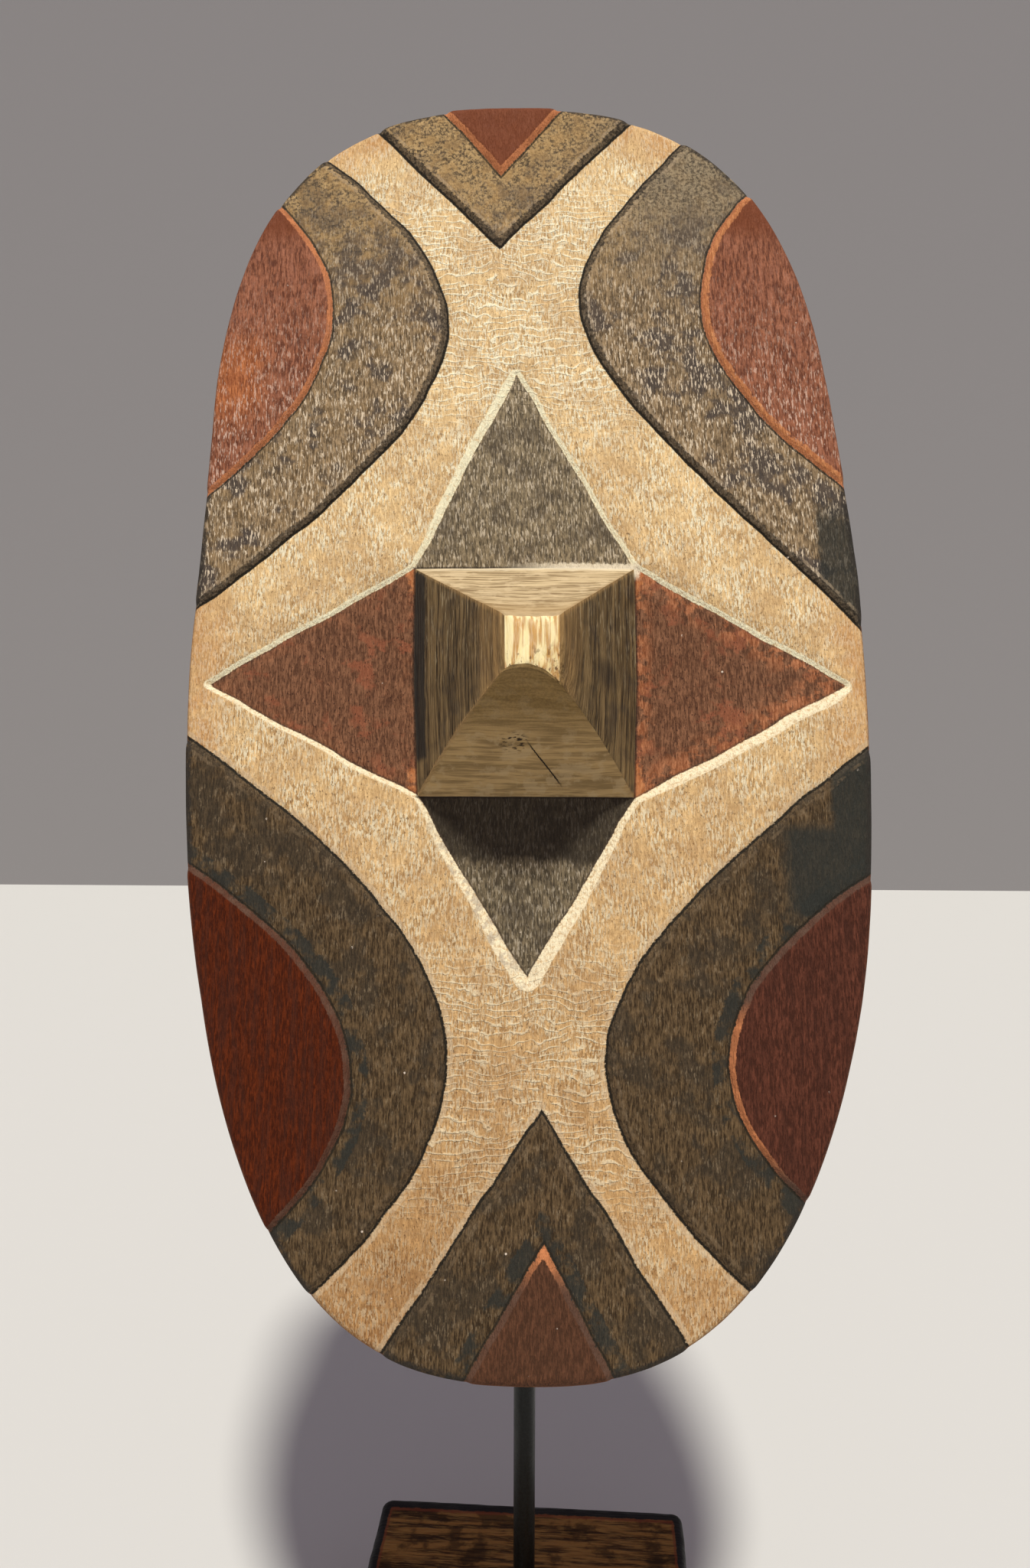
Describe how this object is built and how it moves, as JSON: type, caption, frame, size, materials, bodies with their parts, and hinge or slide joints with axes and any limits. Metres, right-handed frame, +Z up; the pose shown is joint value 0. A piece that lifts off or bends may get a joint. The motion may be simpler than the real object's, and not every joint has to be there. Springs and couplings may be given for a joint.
{
  "type": "carved shield on display stand",
  "caption": "Oval carved and painted plank shield with a square hollow-faced boss, hung by its grip on a tilting post stand with a wooden base block.",
  "frame": {"origin": "middle of the underside of the sheet under the base block, on the table", "axes": "+Z up, +X to the right seen from the front, the carved front faces -Y"},
  "size_m": [0.335, 0.2012, 0.8691],
  "materials": {
    "painted_wood": "matte earth paint on carved wood, worn",
    "block_wood": "weathered, waxed",
    "black_steel": "satin black",
    "bright_steel": "plated",
    "rubber": "matte"
  },
  "bodies": {
    "base": {"underlay": "rubber", "base_block": "block_wood", "foot_washer": "bright_steel", "foot_bolt": "bright_steel", "tube_plug": "bright_steel", "post_tube": "black_steel", "weld_boss": "black_steel"},
    "thumb_screw": {"thumb_screw": "black_steel"},
    "mast": {"mast_rod": "black_steel"},
    "fork": {"swivel_fork": "black_steel", "grub_screw": "bright_steel", "tilt_bolt": "bright_steel", "tilt_washer_left": "bright_steel", "tilt_washer_right": "bright_steel"},
    "wing_nut": {"wing_nut": "bright_steel"},
    "head": {"spine_bar": "black_steel", "cross_bar_upper": "black_steel", "cross_bar_lower": "black_steel", "hook_plate": "black_steel", "hook_sleeve_left": "rubber", "hook_sleeve_right": "rubber", "head_screw_1": "bright_steel", "head_screw_2": "bright_steel", "head_screw_3": "bright_steel", "head_screw_4": "bright_steel", "head_screw_5": "bright_steel", "head_screw_6": "bright_steel", "bumper_lower_left": "rubber", "bumper_lower_right": "rubber", "bumper_upper_left": "rubber", "bumper_upper_right": "rubber"},
    "shield": {"shield_board": "painted_wood"}
  },
  "joints": [
    {"name": "rod_height", "type": "slide", "parent": "base", "child": "mast", "axis": [0, 0, 1], "range_m": [-0.03, 0.015]},
    {"name": "thumb_screw_turn", "type": "hinge", "parent": "base", "child": "thumb_screw", "pos_m": [0, 0.017, 0.186], "axis": [0, 1, 0], "continuous": true},
    {"name": "head_swivel", "type": "hinge", "parent": "mast", "child": "fork", "pos_m": [0, 0.017, 0.52], "axis": [0, 0, 1], "continuous": true},
    {"name": "wing_nut_turn", "type": "hinge", "parent": "fork", "child": "wing_nut", "pos_m": [0, 0.017, 0.549], "axis": [1, 0, 0], "continuous": true},
    {"name": "head_tilt", "type": "hinge", "parent": "fork", "child": "head", "pos_m": [0, 0.017, 0.549], "axis": [1, 0, 0], "range_deg": [-25, 14]},
    {"name": "shield_lift", "type": "slide", "parent": "head", "child": "shield", "axis": [0, 0.2419, 0.9703], "range_m": [0, 0.018]}
  ]
}
